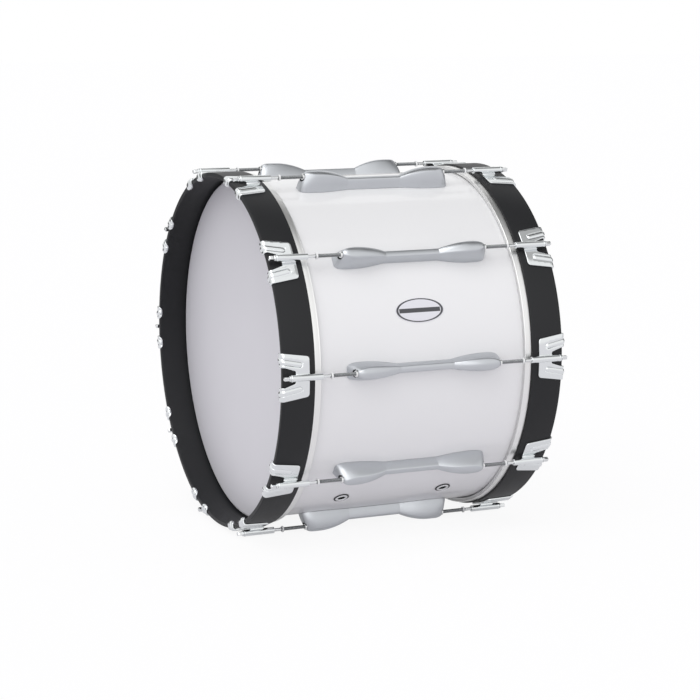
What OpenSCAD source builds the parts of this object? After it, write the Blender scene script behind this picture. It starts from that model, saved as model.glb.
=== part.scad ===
// Marching bass drum, 20 by 14 inch, ten one-piece bridge lugs.
// The drum lies on its side with its axis along Y. The batter head faces -Y and +Z is up.
// Inside the modules one end of the drum is drawn with its axis along local Z and its outer
// end at +Z. place() stands that on the Y axis, and the rear end is the mirror image.

/* [Shell] */
// Outer diameter of the wood shell
shell_d = 508; // [460:1:560]
// Depth of the shell over both bearing edges
shell_depth = 355.6; // [320:0.1:400]
// Wall thickness of the shell
shell_wall = 7.6; // [6:0.1:10]
// Width of the flat land on the bearing edge
edge_land = 1.2; // [0.8:0.1:2]
// Radius of the outer roundover of the bearing edge
edge_round = 3.4; // [2:0.1:4]

/* [Heads] */
// Thickness of the film head
film_t = 0.4; // [0.3:0.05:0.6]
// Radius of the bend where the film turns down over the bearing edge
film_bend = 4.7; // [4.2:0.1:5.5]
// Height of the flesh hoop that holds the film
flesh_h = 10.5; // [8:0.5:14]
// Distance from the head's plane to the top of the flesh hoop
flesh_drop = 7.3; // [6:0.1:9]
// Radial width of the flesh hoop
flesh_w = 7.3; // [6.5:0.1:9]
// Radial gap between the shell and the flesh hoop
flesh_gap = 0.75; // [0.5:0.05:1]

/* [Wood hoops] */
// Width of the hoop along the drum's axis
hoop_w = 49; // [40:0.5:60]
// Radial thickness of the hoop
hoop_t = 7; // [5:0.5:10]
// Radial gap between the shell and the hoop
hoop_gap = 3.5; // [3:0.1:4.5]
// Eased edge of the hoop
hoop_ease = 1.2; // [0.5:0.1:2]

/* [Tension rods] */
// Number of lugs round the drum
lug_count = 10; // [6:1:12]
// Distance of the rods from the shell's surface
rod_standoff = 20; // [18:0.5:22]
// Diameter of the rod's thread
rod_d = 5.5; // [4.8:0.1:6]
// Diameter of the plain shank next to the head
shank_d = 4.8; // [4.2:0.1:5]
// Length of the rod from its collar to its tip
rod_len = 127; // [118:1:130]
// Length of the threaded stretch
thread_len = 68; // [60:1:70]
// Width across the flats of the square head
key_w = 5.4; // [4.8:0.1:6]
// Length of the square head
key_len = 7.8; // [6:0.1:12]
// Diameter of the collar under the square head
collar_d = 8.6; // [8.2:0.1:9.4]
// Thickness of that collar
collar_t = 2.2; // [1.5:0.1:3]
// Diameter of the nylon retaining washer
nylon_d = 9; // [8:0.5:11]
// Thickness of the nylon retaining washer
nylon_t = 2.4; // [1.5:0.1:3]
// Distance from the end of the claw's barrel to the nylon washer
nylon_reach = 12.4; // [10:0.1:14]

/* [Claws] */
// Thickness of the claw's plate
claw_t = 3; // [2.5:0.1:4]
// Length of the claw's plate from its inner edge to the hoop's outer edge
claw_len = 39.5; // [34:0.5:44]
// Width of the plate at its inner edge
claw_w_in = 57; // [50:1:64]
// Width of the plate over its two arms
claw_w_out = 68.4; // [60:0.2:74]
// Corner radius of the plate
claw_corner = 5; // [3:0.5:7]
// Length of the notch between the arms
notch_len = 18.5; // [14:0.5:22]
// Width of the notch at its closed end
notch_w_in = 16.4; // [12:0.2:20]
// Width of the notch at its open end
notch_w_out = 28; // [22:1:32]
// Length of the lip behind the hoop's edge
lip_len = 2.6; // [1.5:0.1:4]
// Outer diameter of the barrel that holds the rod
barrel_d = 9.4; // [8.6:0.1:11]
// Length of the barrel
barrel_len = 48; // [40:1:52]
// Length of the barrel that lies in the notch
barrel_out = 10.5; // [6:0.5:14]
// Width of the rib on each arm
rib_w = 8; // [4:0.2:9]
// Height of the rib
rib_h = 1.3; // [0.8:0.1:2]

/* [Lugs] */
// Length of the lug at its base
lug_len = 237.6; // [220:0.2:260]
// Height of the bulbs above the shell
bulb_h = 28.4; // [27:0.1:32]
// Height of the waist above the shell
waist_h = 16.3; // [12:0.1:20]
// Width of the bulbs at their base
bulb_w = 25.6; // [22:0.2:30]
// Width of the waist at its base
waist_w = 13.6; // [10:0.2:16]
// Length of the straight waist
waist_len = 84; // [60:1:100]
// Distance of each bulb's crest from the lug's middle
crest_at = 93; // [84:1:98]
// Width of the lens-shaped crown of a bulb
crown_w = 17; // [14:0.5:20]
// Width of the crown along the waist
crown_waist_w = 9; // [7:0.5:10]
// Radius of the crown across the lug
crown_r = 12.9; // [11:0.1:16]
// Lean of the end faces, as run over rise
end_draft = 0.2; // [0.1:0.01:0.3]
// Outer diameter of the swivel nut's rim
nut_d = 9.6; // [9:0.1:10.4]
// Length of the swivel nut
nut_len = 14; // [12:0.5:18]
// Distance from a lug's end to the rim of its swivel nut
nut_set_in = 4.2; // [3:0.1:6]
// Distance of each mounting screw from the lug's middle
screw_at = 62; // [50:1:68]
// Diameter of the mounting screws
screw_d = 6; // [5:0.5:6]

/* [Vents] */
// Angle of the air vents below the horizontal, on the side of the first lug
vent_angle = 54; // [50:0.5:58]
// Distance between the two vents
vent_spacing = 165; // [120:1:200]
// Outer diameter of the vent's rim
vent_d = 23.2; // [20:0.2:26]
// Diameter of the vent's bore
vent_bore = 11; // [8:0.5:13]

/* [Hidden] */
// Gap between curved faces that seat on one another
seat = 0.3;
// Radial clearance of a turning rod
run_gap = 0.05;
// Radial clearance of a plain hole round its screw or tube
hole_gap = 0.2;

shell_r = shell_d / 2;
bore_r = shell_r - shell_wall;
head_z = shell_depth / 2;
land_r = shell_r - edge_round;
flesh_in = shell_r + flesh_gap;
flesh_out = flesh_in + flesh_w;
flesh_top = head_z - flesh_drop;
film_in = flesh_in + 0.85;
hoop_in = shell_r + hoop_gap;
hoop_out = hoop_in + hoop_t;
hoop_end = flesh_top + hoop_w;
rod_r = shell_r + rod_standoff;
claw_in_z = hoop_end - claw_len;
plate_in = hoop_out + seat;
plate_out = plate_in + claw_t;
notch_z = hoop_end - notch_len;
barrel_end = notch_z + barrel_out;
barrel_start = barrel_end - barrel_len;
arm_slope = (claw_w_out - claw_w_in) / 2 / claw_len;
arm_mid = (claw_w_out + notch_w_out) / 4;
arm_w = (claw_w_out - notch_w_out) / 2;
nylon_z = barrel_start - nylon_reach;
lug_half = lug_len / 2;
nut_z = lug_half - nut_set_in;
nut_rim_t = 3.2;
nut_body_r = nut_d / 2 - 0.9;
washer_t = 1.2;
washer_r = 8;
washer_top = sqrt(bore_r * bore_r - washer_r * washer_r) - seat;
screw_depth = 10;
lug_seat = shell_r + seat;

// The nose of a bulb is a superellipse, blunter in side view than from above
nose_side = 5;
nose_plan = 3.5;
nose_reach = lug_half - crest_at + 0.8;

LUGS = [for (i = [1 : lug_count]) str("lug_", i)];
FRONT_CLAWS = [for (i = [1 : lug_count]) str("front_claw_", i)];
REAR_CLAWS = [for (i = [1 : lug_count]) str("rear_claw_", i)];
FRONT_RODS = [for (i = [1 : lug_count]) str("front_rod_", i)];
REAR_RODS = [for (i = [1 : lug_count]) str("rear_rod_", i)];

// Profiles of a lug, each a function of the distance u from the lug's middle
function rise(u) = sin(90 * min(1, max(0, (u - waist_len / 2) / (crest_at - waist_len / 2))));
function nose(u, n) = pow(1 - pow(max(0, u - crest_at) / nose_reach, n), 1 / n);
function parabola(u) = 1 - pow((crest_at - min(u, crest_at)) / (crest_at - waist_len / 2), 2);
function crown_top(u) =
    (waist_h + (bulb_h - waist_h) * parabola(max(u, waist_len / 2))) * nose(u, nose_side);
function base_half(u) = (waist_w + (bulb_w - waist_w) * rise(u)) / 2 * nose(u, nose_plan);
function lens(u) = 1 - pow(max(0, u - crest_at) / (lug_half - crest_at + 1.6), 2);
function crown_half(u) = (crown_waist_w + (crown_w - crown_waist_w) * rise(u)) / 2 * lens(u);

// One cross-section of a lug at u, going round from one foot to the other. The sides curve in
// to the two ridge lines, and the crown between the ridges is an arc. The whole section leans
// with the end faces' draft, more towards the ends.
function foot_x(w) = sqrt(lug_seat * lug_seat - w * w);
function half_section(u) =
    let (b = base_half(u), c = min(crown_half(u), b - 0.3), top = shell_r + crown_top(u))
    let (ridge = top - c * c / 2 / crown_r, low = foot_x(b))
    concat(
        [for (f = [0, 0.4, 0.75]) [low + (ridge - low) * f, c + (b - c) * (1 - f * f)]],
        [[ridge, c], [top - c * c / 8 / crown_r, c / 2]]
    );
function section(u) =
    let (h = half_section(u), n = len(h), top = shell_r + crown_top(u))
    concat(h, [[top, 0]], [for (i = [n - 1 : -1 : 0]) [h[i].x, -h[i].y]], [[lug_seat, 0]]);
function leaned(p, u) =
    [p.x, p.y, sign(u) * (abs(u) - end_draft * (p.x - shell_r) * pow(abs(u) / lug_half, 4))];

// Stations from the crease to the end face, closer together where the nose turns in
station_steps = [0, 0.09, 0.2, 0.33, 0.47, 0.61, 0.72, 0.81, 0.875, 0.92, 0.952, 0.975, 0.99, 1];
half_stations = [for (s = station_steps) waist_len / 2 + (lug_half - waist_len / 2) * s];
stations = concat(
    [for (i = [len(half_stations) - 1 : -1 : 0]) -half_stations[i]],
    half_stations
);
lug_rings = [for (u = stations) [for (p = section(abs(u))) leaned(p, u)]];
ring_n = len(lug_rings[0]);
lug_points = [for (ring = lug_rings, p = ring) p];
lug_faces = concat(
    [[for (j = [0 : ring_n - 1]) j]],
    [for (k = [0 : len(stations) - 2], j = [0 : ring_n - 1], half = [0, 1])
        let (a = k * ring_n + j, b = k * ring_n + (j + 1) % ring_n)
        half == 0 ? [a, a + ring_n, b] : [b, a + ring_n, b + ring_n]],
    [[for (j = [ring_n - 1 : -1 : 0]) (len(stations) - 1) * ring_n + j]]
);

// Height of the drum's axis: it stands on its lowest lugs, or on the hoops if they reach lower
function lug_angle(i) = (i - 1) * 360 / lug_count;
lug_low = max([for (i = [1 : lug_count], p = lug_points)
    -(p.x * sin(lug_angle(i)) + p.y * cos(lug_angle(i)))]);
axis_z = max(lug_low, hoop_out);
echo(axis_height = axis_z);

module place() {
    translate([0, 0, axis_z]) rotate([90, 0, 0]) children();
}

module rear() {
    mirror([0, 0, 1]) children();
}

// Turns to lug i, with local X pointing away from the drum's axis
module at_lug(i) {
    rotate([0, 0, lug_angle(i)]) children();
}

module tube(r_out, r_in, z0, z1, fn = 48) {
    translate([0, 0, z0]) difference() {
        cylinder(r = r_out, h = z1 - z0, $fn = fn);
        translate([0, 0, -1]) cylinder(r = r_in, h = z1 - z0 + 2, $fn = fn);
    }
}

// A radial cylinder at height z and side offset s, from radius r0 to radius r1
module spoke(r, s, z, r0, r1, fn = 32) {
    translate([r0, s, z]) rotate([0, 90, 0]) cylinder(r = r, h = r1 - r0, $fn = fn);
}

function arc(cx, cy, r, a0, a1, n) =
    [for (i = [0 : n]) let (a = a0 + (a1 - a0) * i / n) [cx + r * cos(a), cy + r * sin(a)]];

// Half of the shell's profile, with a roundover outside and a 45 degree cut inside the land
module shell_half_profile() {
    land_in = land_r - edge_land;
    polygon(concat(
        [[bore_r, 0], [shell_r, 0]],
        arc(land_r, head_z - edge_round, edge_round, 0, 90, 6),
        [[land_in, head_z], [bore_r, head_z - (land_in - bore_r)]]
    ));
}

module vent_places() {
    for (side = [-1, 1]) rotate([0, 0, -vent_angle]) translate([0, 0, side * vent_spacing / 2])
        children();
}

module screw_places() {
    for (i = [1 : lug_count], side = [-1, 1]) at_lug(i) translate([0, 0, side * screw_at])
        children();
}

module shell() {
    color("white") place() difference() {
        union() {
            rotate_extrude($fn = 180) shell_half_profile();
            rear() rotate_extrude($fn = 180) shell_half_profile();
        }
        vent_places() spoke(vent_bore / 2 + 0.8 + hole_gap, 0, 0, bore_r - 5, shell_r + 5);
        screw_places() spoke(screw_d / 2 + hole_gap, 0, 0, bore_r - 5, shell_r + 5);
    }
}

// Eyelet rolled over outside into a half-round rim, with a thin tube through the wall and a
// rolled lip inside. A flat ring lies round the rim.
module vents() {
    bore = vent_bore / 2;
    ring_in = vent_d / 2 - 1.8;
    roll = (ring_in - 0.1 - bore) / 2;
    tube_r = bore + 0.8;
    color("silver") place() vent_places() {
        difference() {
            union() {
                spoke(tube_r, 0, 0, bore_r - 1.2, shell_r + 0.1);
                spoke(tube_r + 1.6, 0, 0, bore_r - 1.5, bore_r - 0.4);
                translate([shell_r + 0.05, 0, 0]) rotate([0, 90, 0]) rotate_extrude($fn = 32)
                    polygon(concat(
                        [[bore - 1, 0], [bore - 1, roll * 0.4]],
                        arc(bore + roll, 0, roll, 150, 0, 10)
                    ));
            }
            spoke(bore, 0, 0, bore_r - 5, shell_r + 5);
        }
        difference() {
            spoke(vent_d / 2, 0, 0, shell_r + 0.05, shell_r + 1.3);
            spoke(ring_in, 0, 0, shell_r - 1, shell_r + 5);
        }
    }
}

module hoop() {
    e = hoop_ease;
    color("#1d1d1f") rotate_extrude($fn = 180) polygon(concat(
        arc(hoop_in + e, flesh_top + e, e, 180, 270, 3),
        arc(hoop_out - e, flesh_top + e, e, 270, 360, 3),
        arc(hoop_out - e, hoop_end - e, e, 0, 90, 3),
        arc(hoop_in + e, hoop_end - e, e, 90, 180, 3)
    ));
}

// Flat film whose collar bends over the bearing edge and runs down into the flesh hoop's slot
module film() {
    bend_r = film_in - film_bend;
    bend_z = head_z - film_bend;
    film_end = flesh_top - flesh_h + 3.3;
    color("#d2d2d6") rotate_extrude($fn = 180) polygon(concat(
        [[0, head_z]],
        arc(bend_r, bend_z, film_bend, 90, 0, 8),
        [[film_in, film_end], [film_in + film_t, film_end]],
        arc(bend_r, bend_z, film_bend + film_t, 0, 90, 8),
        [[0, head_z + film_t]]
    ));
}

// Rolled ring with a slot for the film's collar, a round bead along its lower edge and a fine
// groove above the bead
module flesh_hoop() {
    slot_in = film_in - 0.15;
    slot_out = film_in + film_t + 0.15;
    slot_floor = flesh_top - flesh_h + 3;
    low = flesh_top - flesh_h;
    bead = 1.2;
    band_out = flesh_out - 0.15;
    e = 0.6;
    color("#dcdad2") rotate_extrude($fn = 180) polygon(concat(
        [[flesh_in, flesh_top], [flesh_in, low + bead / 2]],
        arc(flesh_out - bead, low + bead, bead, 210, 420, 6),
        [[band_out, low + 2.2 * bead]],
        arc(band_out - e, flesh_top - e, e, 0, 90, 2),
        [[slot_out, flesh_top], [slot_out, slot_floor], [slot_in, slot_floor],
            [slot_in, flesh_top]]
    ));
}

// Plan of the claw's plate: side offset across and axial height up
function claw_side(z) = claw_w_in / 2 + (z - claw_in_z) * arm_slope;
module claw_outline() {
    lean = atan(arm_slope);
    c = claw_corner;
    notch_r = 2;
    end = hoop_end + claw_t + rib_h + 1;
    cx = claw_side(claw_in_z + c) - c / cos(lean);
    open_half = notch_w_in / 2 + (notch_w_out - notch_w_in) / 2 * (end - notch_z) / notch_len;
    half = concat(
        arc(cx, claw_in_z + c, c, 270, 360 - lean, 4),
        [[claw_side(end), end], [open_half, end]],
        arc(notch_w_in / 2 - notch_r + 0.3, notch_z + notch_r, notch_r, 0, -90, 3)
    );
    polygon(concat(half, [for (i = [len(half) - 1 : -1 : 0]) [-half[i].x, half[i].y]]));
}

// Turns a drawing of side offset and axial height so that it faces away from the axis
module radial_extrude(r0, r1) {
    translate([r0, 0, 0]) rotate([90, 0, 90]) linear_extrude(r1 - r0) children();
}

// Section of the bent plate through the drum's axis: over the hoop, round its edge and behind it
module claw_bend(grow) {
    top = hoop_end + claw_t + grow;
    out = plate_out + grow;
    bend = 5 + grow;
    lip_in = hoop_in - seat - claw_t;
    lip_bend = 4.5;
    polygon(concat(
        [[plate_in, claw_in_z - 1], [out, claw_in_z - 1]],
        arc(out - bend, top - bend, bend, 0, 90, 5),
        arc(lip_in + lip_bend, top - lip_bend, lip_bend, 90, 180, 4),
        [[lip_in, hoop_end - lip_len], [hoop_in - seat, hoop_end - lip_len],
            [hoop_in - seat, hoop_end], [plate_in, hoop_end]]
    ));
}

// Rounded end of an arm as the drum's end shows it: a tongue that narrows over the hoop's edge
module arm_tongue(s, half_w) {
    z0 = hoop_end - lip_len - 1;
    tip = hoop_in - seat - claw_t;
    translate([0, s, z0]) {
        translate([tip + half_w, 0, 0]) cylinder(r = half_w, h = 20, $fn = 48);
        translate([tip + half_w, -half_w, 0]) cube([plate_out + 5 - tip - half_w, 2 * half_w, 20]);
    }
}

module claw_plate() {
    intersection() {
        rotate_extrude($fn = 180) claw_bend(0);
        radial_extrude(hoop_in - 10, plate_out + 5) claw_outline();
        union() {
            translate([hoop_in - 10, -60, claw_in_z - 2]) cube([40, 120, hoop_end - claw_in_z + 1.9]);
            for (s = [-arm_mid, arm_mid]) arm_tongue(s, arm_w / 2);
        }
    }
}

// Raised rib that starts behind the notch and runs over the bend to the tip of its arm
module claw_rib(s) {
    start_s = sign(s) * (abs(s) - 7.4);
    z0 = claw_in_z + 12;
    lean = atan2(abs(s) - abs(start_s), hoop_end - z0);
    intersection() {
        rotate_extrude($fn = 180) difference() {
            claw_bend(rib_h);
            translate([0, hoop_end]) square([hoop_in - seat - claw_t + 3, 60]);
        }
        translate([0, start_s, z0]) rotate([-sign(s) * lean, 0, 0]) {
            spoke(rib_w / 2, 0, 0, hoop_in - 10, plate_out + 5, 24);
            translate([hoop_in - 10, -rib_w / 2, 0]) cube([40, rib_w, claw_len]);
        }
    }
}

module claw() {
    web_w = barrel_d * 0.72;
    dimple_z = claw_in_z + 10.6;
    color("silver") difference() {
        union() {
            claw_plate();
            for (side = [-1, 1]) claw_rib(side * arm_mid);
            translate([rod_r, 0, barrel_start]) cylinder(r = barrel_d / 2, h = barrel_len, $fn = 48);
            translate([rod_r, 0, barrel_end - 2.4]) cylinder(r = barrel_d / 2 + 0.4, h = 1.4, $fn = 48);
            translate([plate_out - 1, -web_w / 2, claw_in_z])
                cube([rod_r - plate_out, web_w, claw_len - notch_len]);
        }
        translate([rod_r, 0, barrel_start - 5])
            cylinder(r = rod_d / 2 + run_gap, h = barrel_len + 20, $fn = 48);
        for (side = [-1, 1]) spoke(0.8, side * 19, dimple_z, plate_out - 0.8, plate_out + 5, 16);
    }
}

// Tension rod: square head, collar that bears on the barrel, plain shank and thread
module rod() {
    z0 = barrel_end - rod_len;
    thread_top = z0 + thread_len;
    key_end = barrel_end + collar_t + key_len;
    color("gainsboro") translate([rod_r, 0, 0]) {
        rotate_extrude($fn = 48) polygon([
            [0, z0], [rod_d / 2 - 0.8, z0], [rod_d / 2, z0 + 0.8], [rod_d / 2, thread_top],
            [shank_d / 2, thread_top + 0.6], [shank_d / 2, barrel_end], [collar_d / 2, barrel_end],
            [collar_d / 2, barrel_end + collar_t - 0.5], [collar_d / 2 - 0.5, barrel_end + collar_t],
            [key_w / 2 - 0.2, barrel_end + collar_t], [0, barrel_end + collar_t]
        ]);
        intersection() {
            translate([-key_w / 2, -key_w / 2, barrel_end + collar_t - 0.1])
                cube([key_w, key_w, key_len + 0.1]);
            translate([0, 0, barrel_end]) cylinder(
                r1 = key_w * 0.66 + (key_end - barrel_end) * 0.3, r2 = key_w * 0.6,
                h = key_end - barrel_end, $fn = 48
            );
        }
    }
}

module nylon_washer() {
    color("whitesmoke") translate([rod_r, 0, 0])
        tube(nylon_d / 2, rod_d / 2 + run_gap, nylon_z - nylon_t, nylon_z);
}

// Swivel nut: a bright rim that sits in the end face, and a narrower body behind its shoulder
module swivel_nut() {
    rim = nut_d / 2;
    shoulder = nut_z - nut_rim_t;
    color("gainsboro") translate([rod_r, 0, 0]) rotate_extrude($fn = 48) polygon([
        [rod_d / 2 + run_gap, nut_z - nut_len], [nut_body_r - 0.5, nut_z - nut_len],
        [nut_body_r, nut_z - nut_len + 0.5], [nut_body_r, shoulder], [rim - 0.4, shoulder],
        [rim, shoulder + 0.4], [rim, nut_z - 0.8], [rim - 0.8, nut_z],
        [rod_d / 2 + run_gap, nut_z]
    ]);
}

module swivel_nuts() {
    place() for (i = [1 : lug_count]) at_lug(i) {
        swivel_nut();
        rear() swivel_nut();
    }
}

// Pocket for one rod and its swivel nut, open through the end face
module rod_pocket() {
    pocket_end = barrel_end - rod_len - 4;
    translate([rod_r, 0, 0]) {
        translate([0, 0, pocket_end]) cylinder(r = rod_d / 2 + 1, h = lug_half, $fn = 32);
        translate([0, 0, nut_z - nut_len - seat])
            cylinder(r = nut_body_r + hole_gap, h = lug_half, $fn = 32);
        translate([0, 0, nut_z - nut_rim_t - hole_gap])
            cylinder(r = nut_d / 2 + 0.5, h = lug_half, $fn = 32);
    }
}

module lug() {
    color("lightgray") difference() {
        polyhedron(points = lug_points, faces = lug_faces, convexity = 6);
        rod_pocket();
        rear() rod_pocket();
        for (side = [-1, 1])
            spoke(screw_d / 2 + run_gap, 0, side * screw_at, shell_r - 5, shell_r + screw_depth + 0.6);
    }
}

// Screws from inside the shell: a round head, a flat washer and a shank into the lug
module lug_screws() {
    head_t = 3.6;
    color("dimgray") place() screw_places() {
        spoke(screw_d / 2, 0, 0, washer_top - washer_t, shell_r + screw_depth);
        spoke(screw_d * 0.95, 0, 0, washer_top - washer_t - head_t, washer_top - washer_t);
        difference() {
            spoke(washer_r, 0, 0, washer_top - washer_t, washer_top);
            spoke(screw_d / 2 + run_gap, 0, 0, washer_top - 5, washer_top + 5);
        }
    }
}

shell();
vents();
swivel_nuts();
lug_screws();
place() hoop();  // front_hoop
place() film();  // front_head
place() flesh_hoop();  // front_flesh_hoop
place() rear() hoop();  // rear_hoop
place() rear() film();  // rear_head
place() rear() flesh_hoop();  // rear_flesh_hoop
for (i = [1 : lug_count]) {
    place() at_lug(i) lug();
    place() at_lug(i) claw();
    place() at_lug(i) rear() claw();
    place() at_lug(i) {
        rod();
        nylon_washer();
    }
    place() at_lug(i) rear() {
        rod();
        nylon_washer();
    }
}
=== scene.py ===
"""Looks of a marching bass drum: white lacquered shell, black hoops, cast lugs and chrome claws."""

import math

import bmesh
import bpy
from bpy.props import FloatProperty, FloatVectorProperty, IntProperty, PointerProperty
from bpy.types import Operator, Panel, PropertyGroup
from mathutils import Matrix, Vector
from mathutils.geometry import delaunay_2d_cdt


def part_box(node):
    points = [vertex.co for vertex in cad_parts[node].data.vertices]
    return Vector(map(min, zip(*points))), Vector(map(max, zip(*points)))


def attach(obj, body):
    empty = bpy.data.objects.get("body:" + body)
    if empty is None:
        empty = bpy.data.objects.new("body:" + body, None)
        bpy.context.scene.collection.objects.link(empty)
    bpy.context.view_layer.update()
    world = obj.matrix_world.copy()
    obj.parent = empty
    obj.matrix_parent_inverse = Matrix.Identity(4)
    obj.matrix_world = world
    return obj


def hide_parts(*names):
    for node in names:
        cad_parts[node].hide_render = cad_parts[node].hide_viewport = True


bl_info = {
    "name": "Marching Bass Drum",
    "version": (1, 0, 0),
    "blender": (4, 5, 0),
    "location": "View3D > Sidebar > Bass Drum",
    "description": "Finishes and detailed fittings of a marching bass drum",
    "category": "Add Mesh",
}

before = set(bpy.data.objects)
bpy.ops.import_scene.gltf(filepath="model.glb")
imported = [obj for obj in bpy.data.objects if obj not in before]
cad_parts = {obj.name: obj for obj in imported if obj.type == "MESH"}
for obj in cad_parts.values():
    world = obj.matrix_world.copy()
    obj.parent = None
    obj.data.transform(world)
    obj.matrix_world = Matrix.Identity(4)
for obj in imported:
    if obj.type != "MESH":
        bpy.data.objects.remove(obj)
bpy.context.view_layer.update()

MM = 0.001
COUNT = 10
SIDES = ("front", "rear")

# Sizes that the frame gives, in metres
SHELL_LOW, SHELL_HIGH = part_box("shell")
HOOP_LOW, HOOP_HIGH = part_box("front_hoop")
FLESH_LOW, FLESH_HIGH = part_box("front_flesh_hoop")
LUG_LOW, LUG_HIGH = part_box("lug_1")
CLAW_LOW, CLAW_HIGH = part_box("front_claw_1")
ROD_LOW, ROD_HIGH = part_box("front_rod_1")
AXIS_Z = (SHELL_LOW.z + SHELL_HIGH.z) / 2
SHELL_R = (SHELL_HIGH.x - SHELL_LOW.x) / 2
HOOP_R = (HOOP_HIGH.x - HOOP_LOW.x) / 2
FLESH_R = (FLESH_HIGH.x - FLESH_LOW.x) / 2
HOOP_END = -HOOP_LOW.y
LUG_HALF = LUG_HIGH.y
LUG_CREST_R = LUG_HIGH.x
MOUTH_R = 6.5 * MM
ROD_R = (ROD_LOW.x + ROD_HIGH.x) / 2
ROD_TIP = -ROD_HIGH.y
KEY_END = -ROD_LOW.y
SEAT = 0.3 * MM
RUN_GAP = 0.05 * MM


def linear(colour):
    """Linear red, green and blue of an sRGB hex colour"""
    shares = [int(colour[i : i + 2], 16) / 255 for i in (1, 3, 5)]
    return [c / 12.92 if c <= 0.04045 else ((c + 0.055) / 1.055) ** 2.4 for c in shares]


def length(name, description, default):
    """A length that the user may change"""
    return FloatProperty(name=name, description=description, default=default, unit="LENGTH")


def tint(name, description, colour):
    """A colour that the user may change"""
    return FloatVectorProperty(
        name=name, description=description, default=linear(colour), subtype="COLOR", min=0, max=1)


class DrumFinish(PropertyGroup):
    """Colours of the drum"""

    lacquer: tint("Shell", "White lacquer of the shell", "#EEEEEF")
    hoop: tint("Hoops", "Black lacquer of the hoops", "#17181B")
    film: tint("Heads", "White film of the heads", "#DDDCE1")
    print_dark: tint("Badge print", "Border and band of the badge", "#3E3F44")


class RingSizes(PropertyGroup):
    """Sizes of the hoops and flesh hoops"""

    hoop_thickness: length("Hoop thickness", "Radial thickness of the wood hoop", 7 * MM)
    hoop_ease: length("Hoop edge", "Radius of the hoop's eased edges", 1.2 * MM)
    flesh_gap: length(
        "Flesh hoop gap", "Radial gap between the shell and the flesh hoop", 0.75 * MM)
    bead: length("Bead", "Diameter of the bead along the flesh hoop's lower edge", 2.4 * MM)


class LugSizes(PropertyGroup):
    """Sizes of a bridge lug"""

    waist_length: length("Waist length", "Length of the straight waist", 84 * MM)
    waist_height: length("Waist height", "Height of the waist above the shell", 16.3 * MM)
    waist_width: length("Waist width", "Width of the waist at its base", 13.6 * MM)
    bulb_width: length("Bulb width", "Width of the bulbs at their base", LUG_HIGH.z - LUG_LOW.z)
    crest: length("Crest", "Distance of each bulb's crest from the lug's middle", 93 * MM)
    crown_width: length("Crown width", "Width of the lens-shaped crown of a bulb", 17 * MM)
    crown_waist: length("Crown at the waist", "Width of the crown along the waist", 9 * MM)
    crown_radius: length("Crown radius", "Radius of the crown across the lug", 12.9 * MM)
    ridge_round: length("Ridge rounding", "How far from a ridge its rounding starts", 1.3 * MM)


class ClawSizes(PropertyGroup):
    """Sizes of a claw"""

    thickness: length("Plate thickness", "Thickness of the bent plate", 3 * MM)
    plate_length: length("Plate length", "Length of the plate up to the hoop's edge", 39.5 * MM)
    inner_width: length("Width inside", "Width of the plate at its inner edge", 57 * MM)
    outer_width: length(
        "Width over arms", "Width of the plate over its two arms", CLAW_HIGH.z - CLAW_LOW.z)
    notch_length: length("Notch length", "Length of the notch between the arms", 18.5 * MM)
    notch_inner: length("Notch inside", "Width of the notch at its closed end", 16.4 * MM)
    notch_outer: length("Notch outside", "Width of the notch at the hoop's edge", 28 * MM)
    lip: length("Lip", "Length of the lip behind the hoop's edge", 2.6 * MM)
    rib_height: length("Rib height", "Height of the rib on each arm", 1.3 * MM)
    barrel: length("Barrel", "Outer diameter of the barrel that holds the rod", 9.4 * MM)
    barrel_length: length("Barrel length", "Length of the barrel", 48 * MM)
    barrel_reach: length("Barrel reach", "Length of the barrel that lies in the notch", 10.5 * MM)


class RodSizes(PropertyGroup):
    """Sizes of a tension rod"""

    thread: length("Thread", "Outer diameter of the thread", 5.5 * MM)
    turns_per_inch: IntProperty(
        name="Turns per inch", description="Turns of the thread in an inch", default=24, min=8)
    thread_length: length("Thread length", "Length of the threaded stretch", 68 * MM)
    shank: length("Shank", "Diameter of the plain shank", 4.8 * MM)
    key: length("Key", "Width across the flats of the square head", 5.4 * MM)
    key_length: length("Key length", "Length of the square head", 7.8 * MM)
    collar: length("Collar", "Diameter of the collar under the square head", 8.6 * MM)
    collar_height: length("Collar height", "Thickness of the collar", 2.2 * MM)
    washer: length("Washer", "Diameter of the nylon retaining washer", 9 * MM)
    washer_height: length("Washer height", "Thickness of the nylon retaining washer", 2.4 * MM)
    washer_reach: length("Washer reach", "Distance from the claw's barrel to the washer", 12.4 * MM)


class TrimSizes(PropertyGroup):
    """Sizes of the badge and the vents"""

    badge_length: length("Badge length", "Length of the oval badge along the drum", 75.5 * MM)
    badge_width: length("Badge width", "Width of the oval badge round the shell", 35.2 * MM)
    badge_angle: FloatProperty(
        name="Badge angle", description="Angle of the badge above the first lug",
        default=math.radians(18), subtype="ANGLE", unit="ROTATION")
    vent_bore: length("Vent bore", "Diameter of the vent's hole", 11 * MM)
    vent_rim: length("Vent rim", "Outer diameter of the ring round the vent", 23.2 * MM)
    vent_ring: length("Vent ring", "Width of the dark ring round the vent", 1.8 * MM)
    vent_angle: FloatProperty(
        name="Vent angle", description="Angle of the vents below the first lug",
        default=math.radians(54), subtype="ANGLE", unit="ROTATION")
    vent_spacing: length("Vent spacing", "Distance between the two vents", 165 * MM)


class DrumSettings(PropertyGroup):
    """All sizes and colours of the drum"""

    finish: PointerProperty(type=DrumFinish)
    rings: PointerProperty(type=RingSizes)
    lug: PointerProperty(type=LugSizes)
    claw: PointerProperty(type=ClawSizes)
    rod: PointerProperty(type=RodSizes)
    trim: PointerProperty(type=TrimSizes)


# Places. A piece is drawn beside the drum's axis: X points away from the axis, Y goes round the
# shell and Z points out of the drum's nearer end.


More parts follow.
